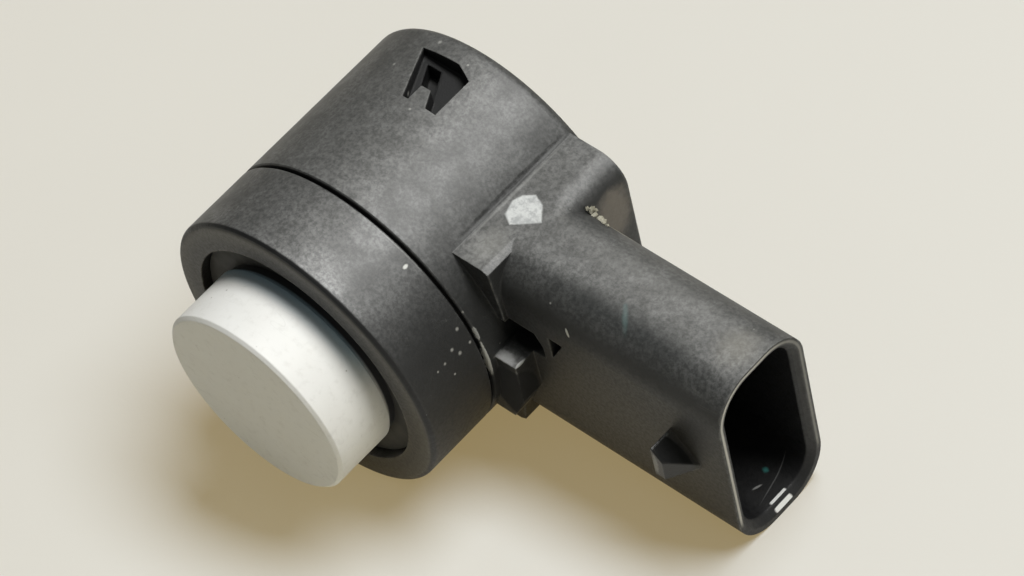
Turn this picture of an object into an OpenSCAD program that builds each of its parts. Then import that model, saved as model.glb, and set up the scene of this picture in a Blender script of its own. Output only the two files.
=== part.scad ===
// Parking sensor: a round body with a painted sensing cup in front and a plug socket at its side.
// The sensor axis is Y, the cup faces -Y, the plug socket opens towards +X and +Z is up.
// The origin is on the sensor axis, in the plane of the front ring's front face.

/* [Body] */
// Diameter of the round body and of the front ring
body_d = 24; // [22:0.5:30]
// Distance from the front ring's face to the back of the body
body_back = 21.7; // [21.5:0.1:28]
// Rounding of the back edge
back_edge_r = 0.8; // [0.3:0.1:1.5]
// Thickness of the back wall
back_wall = 1.7; // [1:0.1:2.5]
// Radial step of the ledge that the circuit board rests on
board_ledge = 1; // [0.5:0.1:1.5]

/* [Front ring] */
// Length of the ring from its face to the seam
ring_l = 6.25; // [5:0.05:7]
// Rounding of the ring's front edge
ring_edge_r = 0.5; // [0.2:0.1:1]
// Diameter of the hole around the cup
ring_hole_d = 19.4; // [18:0.1:20.4]
// Depth of the ledge that the soft ring is pressed against
ring_ledge = 3.2; // [2.6:0.1:3.6]
// Width of the seam between ring and body
seam_w = 0.3; // [0.2:0.05:0.6]
// Depth of the seam groove down to its gasket
seam_depth = 0.6; // [0.3:0.05:0.8]
// Bevel along both edges of the seam
seam_bevel = 0.1; // [0.05:0.05:0.2]
// Wall of the ring around the spigot of the body
ring_back_wall = 1; // [0.8:0.1:1.4]
// Wall of the spigot that enters the ring
spigot_wall = 1.5; // [1:0.1:1.8]
// Radial clearance of the spigot in the ring
spigot_gap = 0.1; // [0.05:0.05:0.2]

/* [Sensing cup] */
// Diameter of the cup
cup_d = 16; // [13:0.1:16.8]
// How far the membrane stands out of the front ring
cup_reach = 5.1; // [3:0.1:8]
// Wall of the cup
cup_wall = 1; // [0.7:0.1:1.3]
// Thickness of the membrane
membrane_t = 0.7; // [0.4:0.1:1]
// Bevel around the membrane
membrane_bevel = 0.25; // [0.1:0.05:0.5]
// Radial step where the cup enters the front ring
cup_step = 0.25; // [0.2:0.05:0.4]
// Depth of the soft ring behind the front ring's face
soft_recess = 0.8; // [0.4:0.1:1.6]
// Thickness of the soft ring's flange
soft_flange_t = 1.2; // [0.8:0.1:1.6]
// Radial clearance of the soft ring in the hole
soft_gap = 0.1; // [0.05:0.05:0.3]
// Diameter of the piezo disc
piezo_d = 9; // [6:0.5:10]
// Thickness of the piezo disc
piezo_t = 0.4; // [0.2:0.1:0.8]
// Thickness of the damping foam
foam_t = 4.6; // [2:0.1:5]
// Thickness of the potting that closes the cup
plug_t = 3; // [1.5:0.1:3.2]
// Radial clearance of foam and potting in the cup
fill_gap = 0.05; // [0.02:0.01:0.1]
// Diameter of the lead wires
lead_d = 0.5; // [0.4:0.05:0.8]
// Distance of the live lead from the sensor axis
live_lead_x = 2; // [1:0.1:2.6]
// Distance of the return lead from the sensor axis
return_lead_x = 5.6; // [5.3:0.1:5.8]
// Radial clearance around leads and terminals in what they pass through
wire_gap = 0.05; // [0.02:0.01:0.1]

/* [Saddle block] */
// Half height of the block, at its flat top and bottom
block_z = 8.7; // [7:0.1:9.2]
// Front face of the block, behind the front ring's face
block_front = 8.7; // [8.2:0.1:9]
// Back face of the block, ahead of the back of the body
block_back_step = 0.5; // [0.2:0.1:1]
// Width of the flat top, from the sensor axis
block_flat_x = 11; // [10.6:0.1:11.4]
// Width of the bevel along the front half of the flat top
block_bevel = 0.5; // [0.3:0.1:0.9]
// Reach of the block's front half at mid height
block_mid_x = 12.5; // [12.2:0.1:13]
// Reach of the shoulder, the block's back half
shoulder_x = 13.1; // [12.6:0.1:14]
// Rounding of the shoulder's long edges
shoulder_r = 2.2; // [1:0.1:2.5]
// Radius of the hollow corner between the shoulder and the barrel
neck_r = 1; // [0.5:0.1:1.5]
// Distance of that corner's centre ahead of the barrel's back
neck_lap = 0.7; // [0.3:0.1:1]

/* [Locating lug] */
// Front face of the lug, behind the front ring's face
lug_front = 7.2; // [6.9:0.1:8]
// Reach of the lug from the sensor axis
lug_x = 13.85; // [13:0.05:14.5]
// Height of the lug's top
lug_top = 1.2; // [0.5:0.1:2]
// Height of the lug's straight side
lug_side = 3.9; // [2:0.1:4.5]
// Drop of the lug's sloping underside
lug_slope = 2.8; // [1:0.1:3]
// Reach of the hollow above the lug from the sensor axis
hollow_x = 15; // [14:0.1:15.2]
// Height of the hollow above the lug's top
hollow_h = 2.4; // [1.8:0.1:3]
// Bevel of the hollow's upper outer corner
hollow_bevel = 0.6; // [0.2:0.1:0.8]
// Depth of the hollow behind the block's front face
hollow_depth = 1.8; // [0.5:0.1:2]

/* [Plug socket] */
// Reach of the socket's mouth from the sensor axis
socket_x = 31.4; // [28:0.1:40]
// Distance of the socket's axis behind the front ring's face
socket_y = 13.5; // [13.2:0.1:13.8]
// Width of the socket across the sensor axis
socket_w = 8.8; // [8:0.1:9]
// Height of the socket
socket_h = 17.4; // [15.8:0.1:17.4]
// Corner radius of the socket
socket_r = 3.4; // [2:0.1:3.8]
// Wall of the socket
socket_wall = 1; // [0.8:0.05:1.3]
// Depth of the socket
socket_depth = 12.4; // [8:0.1:13]
// Width of the bevel inside the mouth
mouth_bevel = 0.5; // [0.2:0.05:0.6]
// Distance of the small notch in the barrel's front from the sensor axis
notch_x = 15.8; // [15.6:0.1:16.4]
// Length of the three-cornered notch along its upper edge
notch_l = 1.3; // [0.6:0.1:2]
// Height of the notch's lower end above mid height
notch_z = 1.9; // [1:0.1:3]
// Height of the notch
notch_h = 2.3; // [1:0.1:2.5]
// Depth of the notch
notch_depth = 0.8; // [0.2:0.1:1]

/* [Locking nib] */
// Length of the nib's ramp
nib_l = 2.3; // [1.5:0.1:4]
// Height of the nib's tall end above mid height
nib_top = 2.3; // [2:0.1:3]
// Drop of the nib's upper face towards the mouth
nib_drop = 2.5; // [0.5:0.1:2.5]
// Depth of the nib's underside below mid height
nib_low = 0.6; // [0.6:0.1:2]
// How far the nib stands out of the socket's wall
nib_h = 2.1; // [0.8:0.1:2.4]
// Distance of the nib's tall end from the mouth
nib_from_mouth = 4.9; // [4.5:0.1:8]
// Length of the flat on top of the nib
nib_flat = 0.9; // [0.2:0.1:1.2]

/* [Clip recesses] */
// Distance of the recess's front end behind the front ring's face
clip_front = 15.4; // [14.5:0.1:15.6]
// Length of the recess
clip_l = 4.3; // [3.5:0.1:4.6]
// Width of the recess at its front end
clip_front_w = 3.1; // [2.8:0.1:4]
// Extra width of the recess at its back end
clip_flare = 2; // [0.5:0.1:2.4]
// Side of the recess towards the plug socket, from the sensor axis
clip_x = 1.4; // [1:0.1:2]
// Depth of the recess below the round body
clip_depth = 1.3; // [0.6:0.1:1.5]
// Width of the recess's narrow leg, beside the tongue left standing in it
clip_leg_w = 0.55; // [0.4:0.05:0.8]
// Width of that tongue at its root
clip_tongue_w = 1.6; // [1:0.1:1.8]
// Width of the tongue at its end
clip_tongue_end_w = 0.9; // [0.5:0.1:1]
// Length of the tongue
clip_tongue_l = 1.4; // [0.8:0.1:1.8]
// Width of the deep hole behind the tongue
clip_hole_w = 1.3; // [1:0.1:1.5]
// Length of the deep hole
clip_hole_l = 2.3; // [1:0.1:2.4]
// Sideways lean of the deep hole towards its back end
clip_hole_lean = 1.2; // [0:0.1:1.4]
// Depth of the deep hole below the round body
clip_hole_depth = 2.6; // [1.8:0.1:2.8]

/* [Terminals] */
// Spacing of the three terminals
pin_pitch = 3.8; // [3:0.1:4]
// Thickness of the square terminals
pin_t = 0.64; // [0.5:0.02:0.8]
// Clearance of the outer terminals' legs inside the body
pin_wall_gap = 0.5; // [0.2:0.1:0.8]
// Distance of the terminals' tips inside the mouth
pin_tip_in = 5; // [4.5:0.1:7]
// Length of the taper at the terminals' tips
pin_taper = 1.2; // [0.5:0.1:2]
// Thickness of the very tip
pin_tip_t = 0.3; // [0.1:0.02:0.4]

/* [Circuit board] */
// Back of the circuit board, behind the front ring's face
board_back = 9.8; // [9:0.1:10.2]
// Thickness of the circuit board
board_t = 1; // [0.6:0.1:1.6]
// Radial clearance of the board in the body
board_gap = 0.15; // [0.05:0.05:0.3]
// Length of each wire end and pin end ahead of the board
solder_tail = 0.6; // [0.4:0.1:1]
// Diameter of the solder joints
solder_d = 1.6; // [1.3:0.1:1.8]
// Side of the control chip
chip_w = 4.4; // [3:0.1:5]
// Thickness of the control chip
chip_t = 0.9; // [0.6:0.1:1.2]
// Side of the transformer
coil_w = 5.4; // [4:0.1:5.8]
// Height of the transformer
coil_h = 5; // [3:0.1:6]
// Thickness of the transformer's end plates
core_plate = 0.9; // [0.6:0.1:1.2]
// Diameter of the transformer's middle post
core_post_d = 2; // [1.5:0.1:2.6]
// Diameter of the storage capacitor
can_d = 4; // [3:0.1:4.4]
// Height of the storage capacitor
can_h = 5.4; // [3:0.1:6]
// Clearance between the storage capacitor and the terminals' legs
can_gap = 0.5; // [0.2:0.1:0.8]
// Length of the small chip parts
small_l = 1.6; // [1:0.1:2]
// Width and height of the small chip parts
small_w = 0.8; // [0.5:0.05:1]
// Spacing of the small chip parts in their row
small_pitch = 1.6; // [1.3:0.1:2]
// Length of the clock crystal
crystal_l = 3.2; // [2:0.1:3.6]
// Width of the clock crystal
crystal_w = 1.5; // [1:0.1:2]
// Thickness of the clock crystal
crystal_t = 0.8; // [0.5:0.1:1]

/* [Hidden] */
$fn = 96;
cut = 1;
body_r = body_d / 2;
housing_front = ring_l + seam_w;
ring_bore_r = body_r - ring_back_wall;
spigot_r = ring_bore_r - spigot_gap;
cavity_r = spigot_r - spigot_wall;
deep_cavity_r = cavity_r - board_ledge;
cavity_back = body_back - back_wall;
spigot_front = ring_ledge + soft_flange_t;
soft_r = ring_hole_d / 2 - soft_gap;
cup_r = cup_d / 2;
cup_root_r = cup_r - cup_step;
cup_in_r = cup_r - cup_wall;
fill_r = cup_in_r - fill_gap;
membrane_back = -cup_reach + membrane_t;
piezo_back = membrane_back + piezo_t;
foam_back = piezo_back + foam_t;
plug_back = foam_back + plug_t;
board_front = board_back - board_t;
board_r = cavity_r - board_gap;
tail_front = board_front - solder_tail;
lead_hole_d = lead_d + 2 * wire_gap;
pin_hole = pin_t + 2 * wire_gap;
pin_tip = socket_x - pin_tip_in;
pin_corner_r = deep_cavity_r - pin_wall_gap;
pin_corner_z = pin_pitch + pin_t / 2;
pin_leg_x = sqrt(pow(pin_corner_r, 2) - pow(pin_corner_z, 2)) - pin_t / 2;
block_back = body_back - block_back_step;
socket_floor = socket_x - socket_depth;
socket_in_w = socket_w - 2 * socket_wall;
socket_in_h = socket_h - 2 * socket_wall;
socket_in_r = socket_r - socket_wall;
socket_front_y = socket_y - socket_w / 2;
socket_back_y = socket_y + socket_w / 2;
nib_x = socket_x - nib_from_mouth;
clip_left = clip_x - clip_front_w;
coil_room_h = coil_h - 2 * core_plate;
coil_z = -(coil_w + solder_d) / 2 - wire_gap;
can_x = pin_leg_x - pin_t / 2 - can_gap - can_d / 2;
can_z = can_d / 2 + small_w + lead_d;
chip_z = chip_w / 2 + small_w;
pins_z = [pin_pitch, 0, -pin_pitch];
small_z = [-1.5, -0.5, 0.5, 1.5] * small_pitch;

// Turns a profile of radius and depth about the sensor axis
module turned() {
  rotate([-90, 0, 0]) rotate_extrude() children();
}

// A ring about the sensor axis from one depth to another
module tube(outer_r, inner_r, front, back) {
  turned() translate([inner_r, front]) square([outer_r - inner_r, back - front]);
}

// A solid disc about the sensor axis
module disc(r, front, back) {
  tube(r, 0, front, back);
}

// A rod along the sensor axis, off centre
module rod(d, x, z, front, back) {
  translate([x, front, z]) rotate([-90, 0, 0]) cylinder(d = d, h = back - front, $fn = 48);
}

// A block given by its low and high corners
module corners(low, high) {
  translate(low) cube(high - low);
}

// Extrudes an outline of X and Z between two depths
module slab(front, back) {
  translate([0, back, 0]) rotate([90, 0, 0]) linear_extrude(back - front) children();
}

// Extrudes an outline of Y and Z between two distances from the sensor axis
module bar(from_x, to_x) {
  translate([from_x, 0, 0]) rotate([90, 0, 90]) linear_extrude(to_x - from_x) children();
}

// A rectangle with round corners, centred
module rounded(w, h, r) {
  square([w - 2 * r, h], center = true);
  square([w, h - 2 * r], center = true);
  for (x = [-1, 1], y = [-1, 1]) translate([x * (w / 2 - r), y * (h / 2 - r)]) circle(r);
}

// The outside of the round body with its spigot
module body_solid() {
  edge_y = body_back - back_edge_r;
  edge_r = body_r - back_edge_r;
  turned() {
    polygon([
      [0, spigot_front], [spigot_r, spigot_front], [spigot_r, housing_front],
      [body_r - seam_bevel, housing_front], [body_r, housing_front + seam_bevel],
      [body_r, edge_y], [edge_r, edge_y], [edge_r, body_back], [0, body_back]
    ]);
    translate([edge_r, edge_y]) circle(back_edge_r);
  }
}

// Outline of the saddle block: a flat top, a bevel and an outer face that leans out to mid height
module block_outline() {
  bevel_x = block_flat_x + block_bevel;
  bevel_z = block_z - block_bevel / 2;
  polygon([
    [0, block_z], [block_flat_x, block_z], [bevel_x, bevel_z], [block_mid_x, 0],
    [bevel_x, -bevel_z], [block_flat_x, -block_z], [0, -block_z]
  ]);
}

// Outline of the shoulder, with round corners
module shoulder_outline() {
  round_x = shoulder_x - shoulder_r;
  round_z = block_z - shoulder_r;
  translate([0, -block_z]) square([round_x, 2 * block_z]);
  translate([0, -round_z]) square([shoulder_x, 2 * round_z]);
  for (side = [-1, 1]) translate([round_x, side * round_z]) circle(shoulder_r);
}

// Hollow corner between the shoulder and the barrel, with a rounded top edge, above mid height
module neck() {
  neck_x = shoulder_x + neck_r;
  neck_y = socket_back_y - neck_lap;
  low_z = socket_h / 2 - socket_r;
  difference() {
    corners([block_flat_x, socket_y, low_z], [neck_x, neck_y, block_z]);
    translate([neck_x, neck_y, 0]) rotate_extrude() {
      translate([0, low_z - cut]) square([neck_r, block_z - low_z + 2 * cut]);
      translate([neck_r, block_z - shoulder_r]) difference() {
        square([shoulder_r, shoulder_r + cut]);
        translate([shoulder_r, 0]) circle(shoulder_r);
      }
    }
  }
}

// The saddle block: its bevelled front half, its rounded shoulder and the corners behind the barrel
module block_solid() {
  slab(block_front, socket_y) block_outline();
  slab(socket_y, block_back) shoulder_outline();
  neck();
  mirror([0, 0, 1]) neck();
}

// The lug ahead of the block, with a flat top and a sloping underside
module lug() {
  side_z = lug_top - lug_side;
  slab(lug_front, block_front + cut) polygon([
    [0, lug_top], [lug_x, lug_top], [lug_x, side_z],
    [lug_x - lug_slope / 2, side_z - lug_slope], [0, side_z - lug_slope]
  ]);
}

// The hollow above the lug, in the corner of block and barrel
module hollow_cut() {
  in_x = body_r - cut;
  top_z = lug_top + hollow_h;
  slab(block_front - cut, block_front + hollow_depth) polygon([
    [in_x, lug_top], [in_x, top_z], [hollow_x - hollow_bevel, top_z],
    [hollow_x, top_z - 2 * hollow_bevel], [hollow_x, lug_top]
  ]);
}

// Section of the bevelled mouth over an opening of the given width
module mouth_section(w) {
  deep = mouth_bevel + cut;
  polygon([[0, -w / 2], [deep, -w / 2 - deep], [deep, w / 2 + deep], [0, w / 2]]);
}

// Bevel around the inside of the socket's mouth
module mouth_cut() {
  flat_y = socket_w / 2 - socket_r;
  flat_z = socket_h / 2 - socket_r;
  deep = mouth_bevel + cut;
  translate([socket_x - mouth_bevel, socket_y, 0]) {
    for (y = [-flat_y, flat_y], z = [-flat_z, flat_z]) translate([0, y, z]) rotate([0, 90, 0])
      cylinder(r1 = socket_in_r, r2 = socket_in_r + deep, h = deep);
    linear_extrude(2 * flat_z, center = true) mouth_section(socket_in_w);
    rotate([90, 0, 0]) linear_extrude(2 * flat_y, center = true) mouth_section(socket_in_h);
  }
}

// Wedge on the front wall of the socket that the plug's latch snaps behind
module nib() {
  wall_y = socket_front_y + socket_wall / 2;
  tip_y = socket_front_y - nib_h;
  end_x = nib_x + nib_l;
  intersection() {
    translate([0, 0, -nib_low]) linear_extrude(nib_low + nib_top) polygon([
      [nib_x, wall_y], [nib_x, tip_y], [nib_x + nib_flat, tip_y], [end_x, socket_front_y], [end_x, wall_y]
    ]);
    slab(tip_y, wall_y) polygon([
      [nib_x, -nib_low], [end_x, -nib_low], [end_x, nib_top - nib_drop], [nib_x, nib_top]
    ]);
  }
}

// Outline of a clip recess, seen along Z, with its tongue
module clip_outline() {
  back = clip_front + clip_l;
  difference() {
    polygon([
      [clip_left, clip_front], [clip_left - clip_flare, back], [clip_x - clip_front_w / 2, back],
      [clip_x, back - clip_l / 6], [clip_x, clip_front]
    ]);
    translate([clip_left + clip_leg_w, clip_front]) polygon([
      [0, -cut], [0, clip_tongue_l], [clip_tongue_end_w, clip_tongue_l],
      [clip_tongue_w, 0], [clip_tongue_w, -cut]
    ]);
  }
}

// A clip recess with its deep hole, on the upper side
module clip_cut() {
  translate([0, 0, body_r - clip_depth]) linear_extrude(clip_depth + cut) clip_outline();
  translate([clip_left, clip_front + clip_tongue_l, body_r - clip_hole_depth])
    linear_extrude(clip_hole_depth) polygon([
      [0, 0], [clip_hole_w, 0], [clip_hole_w - clip_hole_lean, clip_hole_l], [-clip_hole_lean, clip_hole_l]
    ]);
}

// The small notch in the front of the barrel, near its root
module notch_cut() {
  top_z = notch_z + notch_h;
  slab(socket_front_y - cut, socket_front_y + notch_depth)
    polygon([[notch_x, notch_z], [notch_x + notch_l, top_z], [notch_x, top_z]]);
}

// Holes that the terminals pass through on their way into the socket
module pin_cuts() {
  for (z = pins_z) bar(0, socket_floor + cut) translate([socket_y, z]) square(pin_hole, center = true);
}

// The moulded housing
module housing() {
  color("#35383a") difference() {
    union() {
      body_solid();
      difference() {
        union() {
          block_solid();
          bar(0, socket_x) translate([socket_y, 0]) rounded(socket_w, socket_h, socket_r);
        }
        hollow_cut();
        notch_cut();
      }
      lug();
      nib();
    }
    disc(cavity_r, spigot_front - cut, board_back);
    disc(deep_cavity_r, board_back - cut, cavity_back);
    bar(socket_floor, socket_x + cut) translate([socket_y, 0])
      rounded(socket_in_w, socket_in_h, socket_in_r);
    mouth_cut();
    pin_cuts();
    clip_cut();
    mirror([0, 0, 1]) clip_cut();
  }
}

// The ring in front
module front_ring() {
  edge_r = body_r - ring_edge_r;
  color("#3b3d3f") difference() {
    turned() {
      polygon([
        [0, 0], [edge_r, 0], [edge_r, ring_edge_r], [body_r, ring_edge_r],
        [body_r, ring_l - seam_bevel], [body_r - seam_bevel, ring_l], [0, ring_l]
      ]);
      translate([edge_r, ring_edge_r]) circle(ring_edge_r);
    }
    disc(ring_hole_d / 2, -cut, ring_l);
    disc(ring_bore_r, ring_ledge, ring_l + cut);
  }
}

// Seal at the bottom of the seam groove
module seam_gasket() {
  color("#1b1c1d") tube(body_r - seam_depth, spigot_r, ring_l, housing_front);
}

// The sensing cup, closed by the membrane
module membrane_cup() {
  color("#e4e4de") turned() difference() {
    polygon([
      [0, -cup_reach], [cup_r - membrane_bevel, -cup_reach], [cup_r, membrane_bevel - cup_reach],
      [cup_r, 0], [cup_root_r, 0], [cup_root_r, spigot_front], [0, spigot_front]
    ]);
    translate([0, membrane_back]) square([cup_in_r, spigot_front - membrane_back + cut]);
  }
}

// The soft ring that keeps the cup's vibration out of the body
module decoupling_ring() {
  color("#26282a") turned() {
    translate([cup_root_r, soft_recess]) square([soft_r - cup_root_r, spigot_front - soft_recess]);
    translate([cup_root_r, ring_ledge]) square([spigot_r - cup_root_r, soft_flange_t]);
  }
}

// The ceramic disc on the inside of the membrane
module piezo_disc() {
  color("#c9b98a") disc(piezo_d / 2, membrane_back, piezo_back);
}

// Passages of the two leads
module lead_cuts(front, back) {
  for (x = [live_lead_x, -return_lead_x]) rod(lead_hole_d, x, 0, front - cut, back + cut);
}

// Foam behind the disc
module damping_foam() {
  color("#8d8f92") difference() {
    disc(fill_r, piezo_back, foam_back);
    lead_cuts(piezo_back, foam_back);
  }
}

// Potting that closes the cup
module cup_plug() {
  color("#5d6a72") difference() {
    disc(fill_r, foam_back, plug_back);
    lead_cuts(foam_back, plug_back);
  }
}

// Wire from the disc to the board
module live_lead() {
  color("firebrick") rod(lead_d, live_lead_x, 0, piezo_back, board_back + solder_tail);
}

// Wire from the cup to the board
module return_lead() {
  color("dimgray") rod(lead_d, -return_lead_x, 0, membrane_back, board_back + solder_tail);
}

// The round board with holes for leads and terminals
module circuit_board() {
  color("#1f5c3a") difference() {
    disc(board_r, board_front, board_back);
    lead_cuts(board_front, board_back);
    for (z = pins_z) translate([pin_leg_x, board_front + board_t / 2, z])
      cube([pin_hole, board_t + 2 * cut, pin_hole], center = true);
  }
}

// The chip on the back of the board
module control_chip() {
  color("#202224") translate([0, board_back, chip_z])
    corners([-chip_w / 2 - live_lead_x, 0, -chip_w / 2], [chip_w / 2 - live_lead_x, chip_t, chip_w / 2]);
}

// Two end plates joined by a post
module transformer_core() {
  color("#4b4642") {
    for (y = [0, coil_h - core_plate]) translate([0, board_back + y, coil_z])
      corners([-coil_w / 2, 0, -coil_w / 2], [coil_w / 2, core_plate, coil_w / 2]);
    rod(core_post_d, 0, coil_z, board_back + core_plate / 2, board_back + coil_h - core_plate / 2);
  }
}

// The winding around the post
module transformer_coil() {
  color("#a8652f") translate([0, board_back + core_plate, coil_z]) rotate([-90, 0, 0]) difference() {
    cylinder(d = coil_w - small_w, h = coil_room_h);
    translate([0, 0, -cut]) cylinder(d = core_post_d + 2 * wire_gap, h = coil_room_h + 2 * cut);
  }
}

// The round capacitor that feeds each pulse
module storage_capacitor() {
  color("#2c3b58") rod(can_d, can_x, can_z, board_back, board_back + can_h);
}

// One small chip part that lies on the front of the board
module small_part(x, z) {
  translate([x, board_front - small_w, z])
    corners([-small_l / 2, 0, -small_w / 2], [small_l / 2, small_w, small_w / 2]);
}

// Row of ceramic capacitors
module filter_capacitors() {
  color("#b89468") for (z = small_z) small_part(-small_l, z - small_pitch / 4);
}

// Row of resistors
module chip_resistors() {
  color("#191a1c") for (z = small_z) small_part(live_lead_x + small_l, z - small_pitch / 4);
}

// The crystal that times the pulses
module clock_crystal() {
  color("silver") translate([0, board_front, chip_z + small_w])
    corners([-crystal_l / 2, -crystal_t, -crystal_w / 2], [crystal_l / 2, 0, crystal_w / 2]);
}

// Outline of a terminal's straight arm with its tapered tip
module arm_outline() {
  half = pin_t / 2;
  tip = pin_tip_t / 2;
  polygon([
    [pin_leg_x - half, -half], [pin_tip - pin_taper, -half], [pin_tip, -tip],
    [pin_tip, tip], [pin_tip - pin_taper, half], [pin_leg_x - half, half]
  ]);
}

// A terminal bent from the board into the socket
module terminal(z) {
  half = pin_t / 2;
  color("#c9a24a") translate([0, 0, z]) {
    corners([pin_leg_x - half, tail_front, -half], [pin_leg_x + half, socket_y + half, half]);
    translate([0, socket_y, 0]) intersection() {
      translate([0, 0, -half]) linear_extrude(pin_t) arm_outline();
      slab(-half, half) arm_outline();
    }
  }
}

// Terminal of the supply
module supply_terminal() {
  terminal(pins_z[0]);
}

// Terminal of the signal
module signal_terminal() {
  terminal(pins_z[1]);
}

// Terminal of the ground
module ground_terminal() {
  terminal(pins_z[2]);
}

// Solder around the terminals, ahead of the board, and around the leads, behind it
module solder_joints() {
  color("#a9adb0") {
    for (z = pins_z) difference() {
      rod(solder_d, pin_leg_x, z, tail_front + wire_gap, board_front);
      translate([pin_leg_x, board_front, z]) cube([pin_hole, 2 * cut, pin_hole], center = true);
    }
    for (x = [live_lead_x, -return_lead_x]) difference() {
      rod(solder_d, x, 0, board_back, board_back + solder_tail);
      rod(lead_hole_d, x, 0, board_back - cut, board_back + solder_tail + cut);
    }
  }
}

housing();
front_ring();
seam_gasket();
membrane_cup();
decoupling_ring();
piezo_disc();
damping_foam();
cup_plug();
live_lead();
return_lead();
circuit_board();
control_chip();
transformer_core();
transformer_coil();
storage_capacitor();
filter_capacitors();
chip_resistors();
clock_crystal();
supply_terminal();
signal_terminal();
ground_terminal();
solder_joints();
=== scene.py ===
import bpy
import bmesh
import random
from math import asin, atan2, cos, hypot, radians, sin
from mathutils import Matrix, Vector


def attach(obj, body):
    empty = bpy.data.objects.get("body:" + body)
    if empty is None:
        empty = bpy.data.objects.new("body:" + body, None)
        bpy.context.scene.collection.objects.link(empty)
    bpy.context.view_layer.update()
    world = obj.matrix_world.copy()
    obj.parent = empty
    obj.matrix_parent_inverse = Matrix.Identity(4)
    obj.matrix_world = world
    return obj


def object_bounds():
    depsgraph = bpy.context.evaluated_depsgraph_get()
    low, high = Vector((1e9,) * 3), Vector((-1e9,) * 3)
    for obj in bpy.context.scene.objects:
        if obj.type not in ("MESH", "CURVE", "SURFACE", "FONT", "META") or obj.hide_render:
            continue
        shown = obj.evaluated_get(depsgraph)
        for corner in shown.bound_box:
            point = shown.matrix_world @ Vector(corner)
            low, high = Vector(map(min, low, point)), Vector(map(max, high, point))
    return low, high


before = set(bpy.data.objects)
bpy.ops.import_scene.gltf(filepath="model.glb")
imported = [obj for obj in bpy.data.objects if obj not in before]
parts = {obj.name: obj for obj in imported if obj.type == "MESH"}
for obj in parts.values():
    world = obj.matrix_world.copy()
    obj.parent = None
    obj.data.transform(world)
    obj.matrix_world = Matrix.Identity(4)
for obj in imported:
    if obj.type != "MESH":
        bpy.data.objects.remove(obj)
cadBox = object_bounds()
mm = 0.001  # sizes and places below are in millimetres of the CAD frame
print("frame loaded:", len(parts), "parts")

# The sensor lies on its round body and on the lower edge of its socket, so the floor leans in this frame
restPlan = {"mouthDrop": 8.7}
bodyRadius = cadBox[1].z / mm
mouthReach = cadBox[1].x / mm
lean = asin(bodyRadius / hypot(mouthReach, restPlan["mouthDrop"])) - atan2(restPlan["mouthDrop"], mouthReach)
floorUp = Vector((-sin(lean), 0, cos(lean)))

cameraPlan = {
    "aim": (8.592, 12.615, 0.498),
    "distance": 349.13,
    "azimuth": 53.34,  # degrees, 0 looks along +Y
    "elevation": 52.07,
    "roll": -14.91,
    "lens": 175.78,
    "sensor": 36.0,
}


def makeCamera(plan):
    azimuth, elevation, roll = (radians(plan[name]) for name in ("azimuth", "elevation", "roll"))
    back = Vector((sin(azimuth) * cos(elevation), -cos(azimuth) * cos(elevation), sin(elevation)))
    levelRight = Vector((0, 0, 1)).cross(back).normalized()
    levelUp = back.cross(levelRight)
    right = cos(roll) * levelRight + sin(roll) * levelUp
    up = cos(roll) * levelUp - sin(roll) * levelRight
    data = bpy.data.cameras.new("camera")
    data.lens = plan["lens"]
    data.sensor_width = plan["sensor"]
    data.sensor_fit = "HORIZONTAL"
    data.clip_start = 0.01
    camera = bpy.data.objects.new("camera", data)
    bpy.context.collection.objects.link(camera)
    place = (Vector(plan["aim"]) + back * plan["distance"]) * mm
    camera.matrix_world = Matrix.Translation(place) @ Matrix((right, up, back)).transposed().to_4x4()
    bpy.context.scene.camera = camera


makeCamera(cameraPlan)
print("camera set")


# Node helpers

def wire(tree, target, value):
    if isinstance(value, bpy.types.NodeSocket):
        tree.links.new(value, target)
    else:
        target.default_value = value


def addNode(tree, kind, settings=None, **inputs):
    node = tree.nodes.new("ShaderNode" + kind)
    for name, value in (settings or {}).items():
        setattr(node, name, value)
    for name, value in inputs.items():
        wire(tree, node.inputs[name], value)
    return node


def maths(tree, operation, a, b=0.0, clamp=False):
    node = addNode(tree, "Math", {"operation": operation, "use_clamp": clamp})
    wire(tree, node.inputs[0], a)
    wire(tree, node.inputs[1], b)
    return node.outputs[0]


def remap(tree, value, low, high, toLow=0.0, toHigh=1.0, smooth=True):
    node = addNode(tree, "MapRange", {"interpolation_type": "SMOOTHSTEP" if smooth else "LINEAR"})
    for name, number in (("Value", value), ("From Min", low), ("From Max", high),
                         ("To Min", toLow), ("To Max", toHigh)):
        wire(tree, node.inputs[name], number)
    return node.outputs["Result"]


def blendTone(tree, mask, a, b):
    node = addNode(tree, "Mix", {"data_type": "RGBA"})
    for index, value in ((0, mask), (6, a), (7, b)):
        wire(tree, node.inputs[index], value)
    return node.outputs[2]


def blendValue(tree, mask, a, b):
    node = addNode(tree, "Mix", {"data_type": "FLOAT"})
    for index, value in ((0, mask), (2, a), (3, b)):
        wire(tree, node.inputs[index], value)
    return node.outputs[0]


def millimetres(tree):
    spot = addNode(tree, "TexCoord").outputs["Object"]
    scaled = addNode(tree, "VectorMath", {"operation": "SCALE"}, Scale=1 / mm)
    tree.links.new(spot, scaled.inputs[0])
    return scaled.outputs[0]


def splitAxes(tree, vector):
    split = addNode(tree, "SeparateXYZ")
    tree.links.new(vector, split.inputs[0])
    return [split.outputs[axis] for axis in "XYZ"]


def startGroup(name, inputs, outputs):
    tree = bpy.data.node_groups.new(name, "ShaderNodeTree")
    for label, kind, value in inputs:
        socket = tree.interface.new_socket(name=label, in_out="INPUT", socket_type="NodeSocket" + kind)
        socket.default_value = value
    for label, kind in outputs:
        tree.interface.new_socket(name=label, in_out="OUTPUT", socket_type="NodeSocket" + kind)
    return tree, tree.nodes.new("NodeGroupInput").outputs, tree.nodes.new("NodeGroupOutput").inputs


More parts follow.
